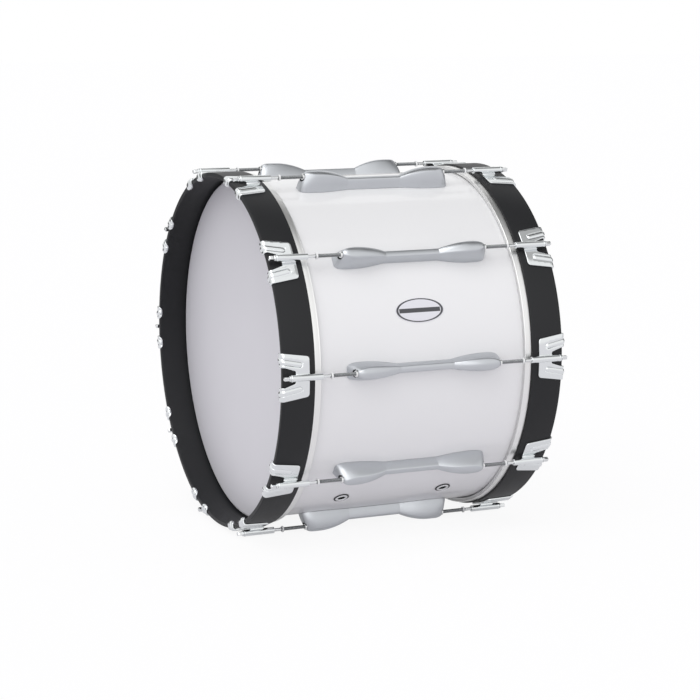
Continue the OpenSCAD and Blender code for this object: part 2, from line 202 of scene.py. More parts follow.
def place(index, side="front"):
    """Matrix from a piece's own axes to lug position index, 1 to COUNT, on one side"""
    angle = math.tau * (index - 1) / COUNT
    return turned(angle, 1 if side == "front" else -1)


def turned(angle, way=1):
    """Matrix to an angle above the first lug; way is -1 for the rear end"""
    away = Vector((math.cos(angle), 0, math.sin(angle)))
    around = Vector((-math.sin(angle), 0, math.cos(angle))) * way
    out = Vector((0, -way, 0))
    matrix = Matrix((away, around, out)).transposed().to_4x4()
    matrix.translation = Vector((0, 0, AXIS_Z))
    return matrix


def add_object(name, data):
    """A new object in the scene"""
    made = bpy.data.objects.new(name, data)
    bpy.context.scene.collection.objects.link(made)
    return made


def add_piece(name, mesh, matrix, body, replaced=()):
    """A new object that rides on a body, and stands for the replaced CAD nodes"""
    piece = add_object(name, mesh)
    piece.matrix_world = matrix
    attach(piece, body)
    if replaced:
        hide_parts(*replaced)


# Meshes


def finish_mesh(bm, name, sharp_degrees=38):
    """A mesh with outward normals, smooth apart from edges sharper than an angle"""
    bmesh.ops.remove_doubles(bm, verts=bm.verts, dist=1e-7)
    bmesh.ops.recalc_face_normals(bm, faces=bm.faces)
    mesh = bpy.data.meshes.new(name)
    bm.to_mesh(mesh)
    bm.free()
    return smoothed(mesh, sharp_degrees)


def bridge(bm, rings, closed_ends=True):
    """Quads between neighbouring rings of vertices, and a cap on the first and last ring"""
    for low, high in zip(rings, rings[1:]):
        for i in range(len(low)):
            j = (i + 1) % len(low)
            bm.faces.new((low[i], low[j], high[j], high[i]))
    if closed_ends:
        bm.faces.new(reversed(rings[0]))
        bm.faces.new(rings[-1])


def add_rings(bm, sections):
    """A ring of vertices for each section, which is a list of points"""
    return [[bm.verts.new(p) for p in section] for section in sections]


def loft(name, sections):
    """A closed mesh through sections that have equally many points"""
    bm = bmesh.new()
    bridge(bm, add_rings(bm, sections))
    return finish_mesh(bm, name)


def circles(profile, segments, middle=0, shape=None):
    """Points round a line along Z at x = middle: a circle for each (radius, height) pair, whose
    radius shape may change with the angle"""
    turns = [math.tau * k / segments for k in range(segments)]
    sections = []
    for radius, height in profile:
        radii = [shape(radius, a, height) if shape else radius for a in turns]
        sections.append([
            (middle + r * math.cos(a), r * math.sin(a), height) for r, a in zip(radii, turns)])
    return sections


def lathe(name, profile, middle=0, segments=48, bore=None, shape=None, bend=None):
    """A profile of (radius, height) pairs turned about Z. bore is a second, inner profile, and
    bend gives each point its place once it is turned"""
    bm = bmesh.new()
    rings = add_rings(bm, circles(profile, segments, middle, shape))
    bridge(bm, rings, closed_ends=bore is None)
    if bore is not None:
        inner = add_rings(bm, circles(bore, segments, middle))
        bridge(bm, [ring[::-1] for ring in inner], closed_ends=False)
        for outside, inside in ((rings[0], inner[0]), (rings[-1], inner[-1])):
            for i in range(segments):
                j = (i + 1) % segments
                bm.faces.new((outside[i], inside[i], inside[j], outside[j]))
    if bend is not None:
        for vert in bm.verts:
            vert.co = bend(*vert.co)
    return finish_mesh(bm, name)


def combined(mesh, others, operation):
    """The mesh with other closed meshes joined to it or cut out of it"""
    holder = add_object("solid", mesh)
    helpers = []
    for other in others:
        helper = add_object("other_solid", other)
        helpers.append(helper)
        step = holder.modifiers.new("solid", "BOOLEAN")
        step.operation = operation
        step.solver = "EXACT"
        step.object = helper
    depsgraph = bpy.context.evaluated_depsgraph_get()
    made = bpy.data.meshes.new_from_object(holder.evaluated_get(depsgraph))
    made.name = mesh.name
    for helper in (holder, *helpers):
        bpy.data.objects.remove(helper)
    return made


def smoothed(mesh, sharp_degrees):
    """The mesh shaded smooth apart from edges sharper than an angle"""
    mesh.shade_smooth()
    mesh.set_sharp_from_angle(angle=math.radians(sharp_degrees))
    return mesh


def quarter(radius, steps):
    """(inset, drop) pairs of a rounded edge, from its side to its top"""
    angles = [math.pi / 2 * k / steps for k in range(steps + 1)]
    return [(radius * (1 - math.cos(a)), radius * (1 - math.sin(a))) for a in angles]


# Hoops and flesh hoops


def ring_mesh(profile, name, sharp_degrees=38):
    """A ring about the drum's axis from its closed profile of (radius, distance out)"""
    bm = bmesh.new()
    rings = add_rings(bm, circles(profile, 360))
    bridge(bm, rings + rings[:1], closed_ends=False)
    return finish_mesh(bm, name, sharp_degrees)


def arc(centre, radius, start, end, steps):
    """Points of an arc between two angles in degrees"""
    angles = [math.radians(start + (end - start) * k / steps) for k in range(steps + 1)]
    return [(centre[0] + radius * math.cos(a), centre[1] + radius * math.sin(a)) for a in angles]


def hoop_profile(rings):
    """A wood hoop: a rectangle with eased edges"""
    ease = rings.hoop_ease
    inner, outer = HOOP_R - rings.hoop_thickness + ease, HOOP_R - ease
    low, high = -HOOP_HIGH.y + ease, HOOP_END - ease
    return (
        arc((inner, low), ease, 180, 270, 5) + arc((outer, low), ease, 270, 360, 5)
        + arc((outer, high), ease, 0, 90, 5) + arc((inner, high), ease, 90, 180, 5))


def flesh_hoop_profile(rings):
    """A flesh hoop: a rolled channel with a round bead, a flat band above it and a slot for the
    film"""
    low, high = -FLESH_HIGH.y, -FLESH_LOW.y
    bead = rings.bead / 2
    inner, outer = SHELL_R + rings.flesh_gap, FLESH_R
    band = outer - 0.15 * MM
    ease = 0.6 * MM
    slot_in = inner + 0.7 * MM
    slot_out = slot_in + 0.7 * MM
    floor = low + 3 * MM
    return (
        [(inner, high), (inner, low + 2.6 * MM), (inner + 1.2 * MM, low + 0.7 * MM)]
        + arc((outer - bead, low + bead), bead, 225, 375, 12)
        + [(band - 0.05 * MM, low + 1.8 * bead), (band, low + 2.2 * bead)]
        + arc((band - ease, high - ease), ease, 0, 90, 4)
        + [(slot_out, high), (slot_out, floor), (slot_in, floor), (slot_in, high)])


# Lugs: a loft of sections along a long bridge with a bulb at each end. The crease between the waist
# and a bulb is eased over a short stretch.

CREASE = 0.3 * MM


def lug_section(lug, u):
    """Half of a lug's section at u from its middle: (height, half width) from foot to crown"""
    half_waist = lug.waist_length / 2
    bulb_height = LUG_CREST_R - SHELL_R
    reach = LUG_HALF - lug.crest + 0.8 * MM
    past = max(0, u - lug.crest) / reach
    side_blunt, plan_blunt = 5, 3.5

    def arch(v):
        v = min(max(v, half_waist), lug.crest)
        return 1 - ((lug.crest - v) / (lug.crest - half_waist)) ** 2

    spread = [arch(u + step * CREASE) for step in (-1, 0, 1)]
    climb = sum(spread) / len(spread)
    swell = math.sin(math.pi / 2 * min(1, max(0, (u - half_waist) / (lug.crest - half_waist))))
    side_nose = (1 - past**side_blunt) ** (1 / side_blunt)
    plan_nose = (1 - past**plan_blunt) ** (1 / plan_blunt)
    top = SHELL_R + (lug.waist_height + (bulb_height - lug.waist_height) * climb) * side_nose
    base = (lug.waist_width + (lug.bulb_width - lug.waist_width) * swell) / 2 * plan_nose
    lens = 1 - (max(0, u - lug.crest) / (LUG_HALF - lug.crest + 1.6 * MM)) ** 2
    crown = (lug.crown_waist + (lug.crown_width - lug.crown_waist) * swell) / 2 * lens
    crown = min(crown, base - 0.3 * MM)
    ridge = Vector((top - crown**2 / 2 / lug.crown_radius, crown))
    low = math.sqrt((SHELL_R + SEAT) ** 2 - base**2)

    def flank(f):
        return Vector((low + (ridge.x - low) * f, crown + (base - crown) * (1 - f * f)))

    def over(w):
        return Vector((top - w * w / 2 / lug.crown_radius, w))

    blend = min(lug.ridge_round, crown * 0.45)
    start = flank(1 - blend / max(ridge.x - low, blend))
    end = over(crown - blend)
    points = [flank(f) for f in (0, 0.03, 0.14, 0.28, 0.42, 0.56, 0.7, 0.8)]
    for k in range(5):
        f = k / 4
        points.append(start * (1 - f) ** 2 + ridge * 2 * f * (1 - f) + end * f * f)
    points += [over((crown - blend) * f) for f in (0.8, 0.6, 0.4, 0.2)]
    return points, top


def lug_mesh(lug):
    """One lug with its two rod pockets"""
    half_waist = lug.waist_length / 2
    end_draft = 0.2
    stations = [0, half_waist * 0.5]
    stations += [half_waist + step * CREASE for step in range(-2, 3)]
    climb = lug.crest - half_waist - 2 * CREASE
    stations += [half_waist + 2 * CREASE + climb * k / 18 for k in range(1, 19)]
    nose = LUG_HALF - lug.crest
    stations += [lug.crest + nose * math.sin(math.pi / 2 * k / 22) for k in range(1, 23)]
    sections = []
    for u in [-u for u in reversed(stations[1:])] + stations:
        half, top = lug_section(lug, abs(u))
        outline = half + [Vector((top, 0))] + [Vector((p.x, -p.y)) for p in reversed(half)]
        outline += [Vector((SHELL_R + SEAT, 0))]
        sections.append([])
        for p in outline:
            lean = end_draft * (p.x - SHELL_R) * (abs(u) / LUG_HALF) ** 4
            sections[-1].append((p.x, p.y, math.copysign(max(abs(u) - lean, 0), u)))
    pockets = [pocket_mesh(1), pocket_mesh(-1)]
    return smoothed(combined(loft("cast_lug", sections), pockets, "DIFFERENCE"), 32)


def pocket_mesh(way):
    """The room inside a bulb for the rod and its swivel nut, way 1 or -1 along the lug"""
    nut_face = LUG_HALF - 4.2 * MM
    nut_back, rim_back = nut_face - 14.3 * MM, nut_face - 3.4 * MM
    thread_room, nut_room, rim_room = 3.75 * MM, 4.1 * MM, 5.3 * MM
    steps = (
        (thread_room, ROD_TIP - 4 * MM), (thread_room, nut_back),
        (nut_room, nut_back), (nut_room, rim_back),
        (rim_room, rim_back), (rim_room, nut_face - 0.2 * MM),
        (MOUTH_R, nut_face + 0.9 * MM), (MOUTH_R, LUG_HALF + 5 * MM),
    )
    return lathe("rod_pocket", [(radius, height * way) for radius, height in steps], ROD_R)


# Claws: a plate bent over the hoop's edge, with ribs, and a barrel on a web


def rounded(corners, step):
    """Dense points along straight runs joined by arcs; each corner is (x, y, radius)"""
    points = []
    last = len(corners) - 1
    for i, (x, y, radius) in enumerate(corners):
        here = Vector((x, y))
        if i in (0, last) or radius <= 0:
            run = [here]
        else:
            before = (Vector(corners[i - 1][:2]) - here).normalized()
            after = (Vector(corners[i + 1][:2]) - here).normalized()
            half = before.angle(after) / 2
            reach = radius / math.tan(half)
            middle = here + (before + after).normalized() * radius / math.sin(half)
            first, final = here + before * reach, here + after * reach
            count = max(2, round((math.pi - 2 * half) * radius / step))
            run = []
            for k in range(count + 1):
                chord = first.lerp(final, k / count) - middle
                run.append(middle + chord.normalized() * radius)
        if points:
            gap = run[0] - points[-1]
            pieces = max(1, round(gap.length / step))
            points += [points[-1] + gap * k / pieces for k in range(1, pieces)]
        points += run
    return points


class ClawForm:
    """Shape of one claw, from its sizes. Distances along the plate run from its inner edge over the
    hoop's edge to the tips of its arms: first, over, second and third are where its two bends
    start and end, and path is its whole length. hug and hug_lip are the bends' inner radii."""

    groove = 0.3 * MM
    rib_half = 4 * MM
    edge_round = 1.1 * MM
    hug = 2 * MM
    hug_lip = 1.6 * MM
    dimple = Vector((19 * MM, 10.6 * MM))
    dimple_r = 1.1 * MM
    dimple_depth = 0.6 * MM

    def __init__(self, sizes):
        self.size = sizes
        self.plate_r = HOOP_R + SEAT
        self.start_z = HOOP_END - sizes.plate_length
        self.barrel_end = HOOP_END - sizes.notch_length + sizes.barrel_reach
        self.barrel_start = self.barrel_end - sizes.barrel_length
        self.lip_r = CLAW_LOW.x + sizes.thickness + 2.3 * MM
        self.first = sizes.plate_length - self.hug
        self.over = self.first + math.pi / 2 * (self.hug + sizes.thickness / 2)
        self.second = self.over + self.plate_r - self.hug - self.lip_r - self.hug_lip
        self.third = self.second + math.pi / 2 * (self.hug_lip + sizes.thickness / 2)
        self.path = self.third + sizes.lip - self.hug_lip
        self.arm_middle = (sizes.outer_width + sizes.notch_outer) / 4
        self.arm_half = (sizes.outer_width - sizes.notch_outer) / 4
        self.rib_from = Vector((self.arm_middle - 7 * MM, 15 * MM))
        self.rib_to = Vector((self.arm_middle, (self.second + self.third) / 2))

    def outline(self):
        """Closed outline of the flat plate: (side, distance along)"""
        size = self.size
        notch = size.plate_length - size.notch_length
        tip_start = (self.over + self.second) / 2
        half = rounded([
            (0, 0, 0),
            (size.inner_width / 2, 0, 5 * MM),
            (size.outer_width / 2, self.first, 12 * MM),
            (size.outer_width / 2, tip_start, 0),
        ], 1.1 * MM)
        tip = self.path - tip_start
        count, squareness = 34, 0.8
        for k in range(1, count):
            angle = math.pi * k / count
            across = math.copysign(abs(math.cos(angle)) ** squareness, math.cos(angle))
            half.append(Vector((
                self.arm_middle + self.arm_half * across,
                tip_start + tip * math.sin(angle) ** squareness)))
        half += rounded([
            (size.notch_outer / 2, tip_start, 0),
            (size.notch_outer / 2, self.first, 12 * MM),
            (size.notch_inner / 2, notch, 2 * MM),
            (0, notch, 0),
        ], 1.1 * MM)
        return half + [Vector((-p.x, p.y)) for p in reversed(half[1:-1])]

    def height(self, p):
        """Height of the outer face at p: the plate, its ribs and two dimples"""
        place = Vector((abs(p.x), p.y))
        along = self.rib_to - self.rib_from
        share = min(1, max(0, (place - self.rib_from).dot(along) / along.length_squared))
        away = (place - self.rib_from - along * share).length / self.rib_half
        height = self.size.thickness
        if away < 1:
            dome = (1 - away * away) ** 0.8
            height += (self.size.rib_height + self.groove) * dome - self.groove
        elif away < 1.4:
            height -= self.groove * (1 - (away - 1) / 0.4) ** 2
        off = (place - self.dimple).length / self.dimple_r
        return height - self.dimple_depth * max(0, 1 - off**2)

    def bend(self, p, height):
        """The place of a point of the flat plate once it is bent over the hoop's edge"""
        s, t = p
        if t <= self.first:
            r, z = self.plate_r + height, self.start_z + t
        elif t <= self.over:
            angle = (t - self.first) / (self.hug + self.size.thickness / 2)
            reach = self.hug + height
            r = self.plate_r - self.hug + reach * math.cos(angle)
            z = HOOP_END - self.hug + reach * math.sin(angle)
        elif t <= self.second:
            r, z = self.plate_r - self.hug - (t - self.over), HOOP_END + height
        elif t <= self.third:
            angle = (t - self.second) / (self.hug_lip + self.size.thickness / 2)
            reach = self.hug_lip + height
            r = self.lip_r + self.hug_lip - reach * math.sin(angle)
            z = HOOP_END - self.hug_lip + reach * math.cos(angle)
        else:
            r, z = self.lip_r - height, HOOP_END - self.hug_lip - (t - self.third)
        return math.sqrt(r * r - s * s), s, z


def inset(outline, distance):
    """A closed outline moved inwards by a distance"""
    count = len(outline)
    moved = []
    for i, p in enumerate(outline):
        along = (outline[(i + 1) % count] - outline[i - 1]).normalized()
        moved.append(p + Vector((-along.y, along.x)) * distance)
    return moved


def filled(bm, border, border_verts, extra, place_point, flip):
    """Triangles inside a border of ready vertices, through extra inner points"""
    points = [Vector(p) for p in border] + extra
    edges = [(i, (i + 1) % len(border)) for i in range(len(border))]
    verts, _, faces, origin, _, _ = delaunay_2d_cdt(points, edges, [], 1, 1e-9)
    made = []
    for p, sources in zip(verts, origin):
        ready = [i for i in sources if i < len(border)]
        made.append(border_verts[ready[0]] if ready else bm.verts.new(place_point(p)))
    for face in faces:
        corners = [made[i] for i in face]
        bm.faces.new(corners[::-1] if flip else corners)


def inner_points(form, border, margin, step):
    """Points of a regular grid that lie well inside the border"""
    found = []
    half = form.size.outer_width / 2
    rows = int(form.path / step) + 1
    columns = int(half / step) + 1
    for row in range(rows + 1):
        for column in range(-columns, columns + 1):
            p = Vector((column * step, row * step))
            if inside(p, border) and min((p - q).length for q in border) > margin:
                found.append(p)
    return found


def inside(p, border):
    """Whether p lies inside a closed outline"""
    within = False
    for a, b in zip(border, border[1:] + border[:1]):
        if (a.y > p.y) != (b.y > p.y):
            if p.x < a.x + (p.y - a.y) / (b.y - a.y) * (b.x - a.x):
                within = not within
    return within


def rib_points(form):
    """Points on loops round each rib and dimple, so that their sides are crisp"""
    loops = []
    along = form.rib_to - form.rib_from
    way = along.normalized()
    across = Vector((-way.y, way.x))
    for share in (0.2, 0.55, 0.7, 0.85, 1.0, 1.2, 1.4):
        radius = form.rib_half * share
        runs = max(2, round(along.length / (1.3 * MM)))
        turns = max(4, round(math.pi * radius / (0.9 * MM)))
        loop = []
        for end, sign in ((form.rib_from, 1), (form.rib_to, -1)):
            loop += [end + along * sign * k / runs - across * radius * sign for k in range(runs)]
        for end, sign in ((form.rib_to, 1), (form.rib_from, -1)):
            for k in range(turns + 1):
                angle = -math.pi / 2 + math.pi * k / turns
                loop.append(end + (way * math.cos(angle) + across * math.sin(angle)) * sign * radius)
        loops += loop
    for radius in (0, 0.6 * MM, form.dimple_r):
        for k in range(8 if radius else 1):
            angle = math.tau * k / 8
            loops.append(form.dimple + Vector((math.cos(angle), math.sin(angle))) * radius)
    return loops + [Vector((-p.x, p.y)) for p in loops]


def claw_plate_mesh(form):
    """The bent plate with rounded edges"""
    bm = bmesh.new()
    outline = form.outline()
    thickness = form.size.thickness
    steps = [(0.3 * MM, 0), (0.09 * MM, 0.09 * MM), (0, 0.3 * MM)]
    steps += [(d, thickness - drop) for d, drop in quarter(form.edge_round, 5)]
    rings = []
    for distance, height in steps:
        border = inset(outline, distance)
        rings.append([bm.verts.new(form.bend(p, height)) for p in border])
    bridge(bm, rings, closed_ends=False)
    face_in = inset(outline, 0.3 * MM)
    face_out = inset(outline, form.edge_round)
    coarse = inner_points(form, face_in, 2.5 * MM, 4 * MM)
    filled(bm, face_in, rings[0], coarse, lambda p: form.bend(p, 0), True)
    ribs = [p for p in rib_points(form) if inside(p, face_out)]
    ribs = [p for p in ribs if min((p - q).length for q in face_out) > 0.5 * MM]
    grid = inner_points(form, face_out, 1.2 * MM, 2.2 * MM)
    grid = [p for p in grid if min((p - q).length for q in ribs) > 1.3 * MM]
    filled(bm, face_out, rings[-1], ribs + grid, lambda p: form.bend(p, form.height(p)), False)
    return finish_mesh(bm, "claw_plate")


def claw_web_mesh(form):
    """The web under the barrel, flared where it meets the plate"""
    size = form.size
    foot = form.plate_r + size.thickness
    width = size.barrel * 0.36
    flare = 1.5 * MM
    half = [(foot - 1 * MM, width + flare), (foot, width + flare)]
    for k in range(1, 6):
        angle = math.pi / 2 * k / 5
        half.append((foot + flare * (1 - math.cos(angle)), width + flare * (1 - math.sin(angle))))
    half.append((ROD_R, width))
    outline = half + [(x, -y) for x, y in reversed(half)]
    reach = size.plate_length - size.notch_length
    ease = 0.6 * MM
    return loft("claw_web", [
        [(x, y - math.copysign(drop, y), form.start_z + z) for x, y in outline]
        for drop, z in ((ease, 0), (0, ease), (0, reach - ease), (ease, reach))])


def claw_barrel_mesh(form, rod):
    """The barrel, with a bead near its outer end and the rod's bore"""
    radius = form.size.barrel / 2
    bore = rod.thread / 2 + RUN_GAP
    start, end = form.barrel_start, form.barrel_end
    bead = 0.4 * MM
    profile = [(radius - d, start + drop) for d, drop in reversed(quarter(0.8 * MM, 4))]
    profile += [(radius, end - 2.7 * MM), (radius + bead * 0.7, end - 2.5 * MM)]
    profile += [(radius + bead, end - 2.2 * MM), (radius + bead, end - 1.6 * MM)]
    profile += [(radius + bead * 0.7, end - 1.3 * MM), (radius, end - 1.1 * MM)]
    profile += [(radius - d, end - drop) for d, drop in quarter(0.6 * MM, 3)]
    return lathe("claw_barrel", profile, ROD_R, bore=[(bore, start), (bore, end)])


def claw_mesh(sizes, rod):
    """One claw: plate, web and barrel in one solid"""
    form = ClawForm(sizes)
    bore = rod.thread / 2 + RUN_GAP
    drill = lathe("drill", [(bore, form.start_z - 5 * MM), (bore, HOOP_END)], ROD_R)
    web = combined(claw_web_mesh(form), [drill], "DIFFERENCE")
    parts = [web, claw_barrel_mesh(form, rod)]
    made = combined(claw_plate_mesh(form), parts, "UNION")
    made.name = "claw"
    return smoothed(made, 40)


# Tension rods and their washers


def rod_mesh(rod):
    """Square key, collar, plain shank and a real helical thread"""
    pitch = 25.4 * MM / rod.turns_per_inch
    major, depth = rod.thread / 2, 0.6 * pitch
    key_start = KEY_END - rod.key_length
    barrel_end = key_start - rod.collar_height
    thread_end = ROD_TIP + rod.thread_length
    rows_per_turn = 6

    def thread(radius, angle, height):
        turn = (height - ROD_TIP) / pitch - angle / math.tau
        cut = 1 - abs(2 * (turn % 1) - 1)
        fade = min(1, max(0, (thread_end - height) / (2 * pitch)))
        return radius - depth * cut * fade if height <= thread_end else radius

    profile = [(major - 0.8 * MM, ROD_TIP)]
    rows = int((thread_end - ROD_TIP) / pitch * rows_per_turn)
    profile += [(major, ROD_TIP + 0.8 * MM + (thread_end - ROD_TIP - 0.8 * MM) * k / rows)
                for k in range(rows + 1)]
    shank = rod.shank / 2
    profile += [(shank, thread_end + 0.6 * MM), (shank, barrel_end)]
    rim = rod.collar / 2
    profile += [(rim - 0.8 * MM, barrel_end), (rim - 0.8 * MM, barrel_end + 0.5 * MM)]
    profile += [(rim - d, barrel_end + 0.5 * MM + drop)
                for d, drop in reversed(quarter(0.3 * MM, 2))]
    profile += [(rim - d, key_start - drop) for d, drop in quarter(0.7 * MM, 4)]
    profile += [(rod.key * 0.42, key_start)]
    body = lathe("rod_body", profile, ROD_R, 24, shape=thread)
    return smoothed(combined(body, [key_mesh(rod, key_start)], "UNION"), 30)


def key_mesh(rod, start):
    """The square head with rounded corners and a crowned end"""
    corner = 0.6 * MM
    steps = (
        (0.25 * MM, start - 0.5 * MM), (0, start + 0.2 * MM), (0, KEY_END - 0.9 * MM),
        (0.3 * MM, KEY_END - 0.35 * MM), (0.9 * MM, KEY_END))
    sections = []
    for shrink, z in steps:
        side = (rod.key / 2 - shrink - corner) * math.sqrt(2)
        sections.append([])
        for quadrant in range(4):
            middle = math.pi / 2 * (quadrant + 0.5)
            for k in range(5):
                angle = math.pi / 2 * (quadrant + k / 4)
                sections[-1].append((
                    ROD_R + side * math.cos(middle) + corner * math.cos(angle),
                    side * math.sin(middle) + corner * math.sin(angle), z))
    return loft("rod_key", sections)


def washer_mesh(rod, barrel_start):
    """The nylon retaining washer"""
    top = barrel_start - rod.washer_reach
    low = top - rod.washer_height
    radius = rod.washer / 2
    bore = rod.thread / 2 + RUN_GAP
    profile = [(radius - d, low + drop) for d, drop in reversed(quarter(0.5 * MM, 3))]
    profile += [(radius - d, top - drop) for d, drop in quarter(0.5 * MM, 3)]
    return lathe("nylon_washer", profile, ROD_R, 40, bore=[(bore, low), (bore, top)])


# Vents and badge, which lie on the shell


def on_shell(x, y, z):
    """Where a point drawn about Z lies once it stands on the shell and follows its curve"""
    return SHELL_R + z - y * y / 2 / SHELL_R, y, -x


def eyelet_mesh(trim):
    """The vent's bright eyelet: a half-round rim rolled over a tube through the shell"""
    bore = trim.vent_bore / 2
    roll = (trim.vent_rim / 2 - trim.vent_ring - 0.1 * MM - bore) / 2
    outer = [(bore + 0.8 * MM, -8.5 * MM), (bore + 0.8 * MM, 0.05 * MM)]
    outer += [
        (bore + roll * (1 + math.cos(angle)), 0.05 * MM + roll * math.sin(angle))
        for angle in (math.pi * k / 24 for k in range(20))]
    inner = [(bore, -8.5 * MM), (bore, 0.2 * MM), (bore, roll * 0.4)]
    return lathe("vent_eyelet", outer, segments=64, bore=inner, bend=on_shell)


def vent_ring_mesh(trim):
    """The dark ring that lies round the eyelet"""
    high, round_off = 1.25 * MM, 0.5 * MM
    outside, inside_r = trim.vent_rim / 2, trim.vent_rim / 2 - trim.vent_ring
    outer = [(outside, 0.05 * MM)]
    outer += [(outside - d, high - drop) for d, drop in quarter(round_off, 4)]
    inner = [(inside_r, 0.05 * MM), (inside_r, high)]
    return lathe("vent_ring", outer, segments=64, bore=inner, bend=on_shell)


def badge_mesh(trim):
    """The oval badge: a thin plate with a rounded edge, bent to the shell"""
    thickness = 0.7 * MM
    steps = [(0, 0.03 * MM), (0, thickness - 0.3 * MM)]
    steps += [(d, thickness - drop) for d, drop in quarter(0.3 * MM, 3)[1:]]
    steps += [(trim.badge_width / 2 * f, thickness) for f in (0.06, 0.12, 0.3, 0.5, 0.7, 0.9)]
    sections = []
    for distance, height in steps:
        radius = SHELL_R + height
        sections.append([])
        for k in range(96):
            turn = math.tau * k / 96
            across = (trim.badge_width / 2 - distance) * math.sin(turn) / SHELL_R
            along = (trim.badge_length / 2 - distance) * math.cos(turn)
            sections[-1].append((radius * math.cos(across), radius * math.sin(across), along))
    return loft("badge", sections)


# Materials


def per(millimetres):
    """Scale of a pattern whose features are this far apart"""
    return 1 / (millimetres * MM)


def add_node(tree, kind, inputs=None, **settings):
    """Adds a node with its own settings. An input is a plain value, an output of another node, or
    another node, whose first output in use then feeds it"""
    made = tree.nodes.new(f"ShaderNode{kind}")
    for name, value in settings.items():
        setattr(made, name, value)
    for socket, value in (inputs or {}).items():
        if isinstance(value, bpy.types.Node):
            value = next(out for out in value.outputs if out.enabled)
        if isinstance(value, bpy.types.NodeSocket):
            tree.links.new(value, made.inputs[socket])
        else:
            made.inputs[socket].default_value = value
    return made


def new_material(name):
    """A material without nodes, and its node tree"""
    material = bpy.data.materials.new(name)
    material.use_nodes = True
    material.node_tree.nodes.clear()
    return material, material.node_tree


def finished(material, shader):
    """The material, with its last shader as its surface"""
    add_node(material.node_tree, "OutputMaterial", {"Surface": shader})
    return material


def rgba(colour):
    """A colour with full alpha, from a hex string or linear values"""
    return (*(linear(colour) if isinstance(colour, str) else colour), 1)


def ring_coordinates(tree, centre=(0, 0, 0), across=(1, 1, 0)):
    """Place measured from the drum's axis, and distance from that axis; across keeps only the
    two directions across it"""
    local = add_node(tree, "TexCoord").outputs["Object"]
    from_axis = add_node(tree, "VectorMath", {0: local, 1: centre}, operation="SUBTRACT")
    flat = add_node(tree, "VectorMath", {0: from_axis, 1: across}, operation="MULTIPLY")
    radius = add_node(tree, "VectorMath", {0: flat}, operation="LENGTH")
    return from_axis, radius


def lines_round(tree, spacing, detail):
    """Noise drawn out into fine lines that run round a ring, which is turned about its own Z"""
    from_axis, radius = ring_coordinates(tree)
    stretched = add_node(
        tree, "VectorMath", {0: from_axis, 1: (0.04, 0.04, 1)}, operation="MULTIPLY")
    outwards = add_node(tree, "CombineXYZ", {"X": radius})
    line_place = add_node(tree, "VectorMath", {0: stretched, 1: outwards}, operation="ADD")
    return add_node(
        tree, "TexNoise",
        {"Scale": per(spacing), "Detail": detail, "Roughness": 0.55, "Vector": line_place})


def lacquered_maple(colour):
    """White gloss lacquer, sprayed and polished over maple ply: a wet shine with a faint orange
    peel outside, and bare pale wood with a satin seal inside"""
    material, tree = new_material("sprayed_white_lacquer_on_maple")
    from_axis, radius = ring_coordinates(tree, (0, 0, AXIS_Z), (1, 0, 1))
    outside = add_node(
        tree, "MapRange",
        {"From Min": SHELL_R - 3 * MM, "From Max": SHELL_R - 2.5 * MM, "Value": radius})
    grain_place = add_node(tree, "VectorMath", {0: from_axis, 1: (4, 0.6, 4)}, operation="MULTIPLY")
    grain = add_node(
        tree, "TexNoise", {"Scale": per(9), "Detail": 4, "Roughness": 0.6, "Vector": grain_place})
    wood = add_node(
        tree, "Mix", {"A": rgba("#C9A26F"), "B": rgba("#DFC193"), "Factor": grain},
        data_type="RGBA")
    paint = add_node(
        tree, "Mix", {"B": rgba(colour), "Factor": outside, "A": wood}, data_type="RGBA")
    peel = add_node(tree, "TexNoise", {"Scale": per(5), "Detail": 1, "Vector": from_axis})
    waves = add_node(tree, "Bump", {"Strength": 0.25, "Distance": 0.02 * MM, "Height": peel})
    shader = add_node(
        tree, "BsdfPrincipled",
        {"Roughness": 0.28, "IOR": 1.5, "Coat Weight": 0.6, "Coat Roughness": 0.06,
         "Base Color": paint, "Normal": waves})
    return finished(material, shader)


def black_lacquered_maple(colour):
    """Matte black lacquer over bent maple plies: the grain still shows as faint lines that run
    round the hoop, and the sheen is broad and dull"""
    material, tree = new_material("matte_black_lacquer_on_maple")
    grain = lines_round(tree, 1.6, 3)
    lines = add_node(tree, "Bump", {"Strength": 0.35, "Distance": 0.05 * MM, "Height": grain})
    dull = add_node(tree, "MapRange", {"To Min": 0.42, "To Max": 0.56, "Value": grain})
    shade = add_node(
        tree, "Mix", {"A": rgba([c * 0.8 for c in colour]), "B": rgba(colour), "Factor": grain},
        data_type="RGBA")
    shader = add_node(
        tree, "BsdfPrincipled",
        {"IOR": 1.42, "Base Color": shade, "Roughness": dull, "Normal": lines})
    return finished(material, shader)


def polyester_film(colour):
    """Smooth white polyester film, stretched: even and slightly milky, with a soft shine and the
    faintest haze of coating, whose grain is drawn coarser than real"""
    material, tree = new_material("smooth_white_polyester_film")
    from_axis, _ = ring_coordinates(tree, (0, 0, AXIS_Z), (1, 0, 1))
    haze = add_node(tree, "TexNoise", {"Scale": per(60), "Detail": 3, "Vector": from_axis})
    tone = add_node(
        tree, "Mix", {"A": rgba([c * 0.97 for c in colour]), "B": rgba(colour), "Factor": haze},
        data_type="RGBA")
    grit = add_node(tree, "TexNoise", {"Scale": per(1.2), "Detail": 2, "Vector": from_axis})
    bumps = add_node(tree, "Bump", {"Strength": 0.15, "Distance": 0.01 * MM, "Height": grit})
    shader = add_node(
        tree, "BsdfPrincipled", {"Roughness": 0.38, "IOR": 1.6, "Base Color": tone, "Normal": bumps})
    return finished(material, shader)


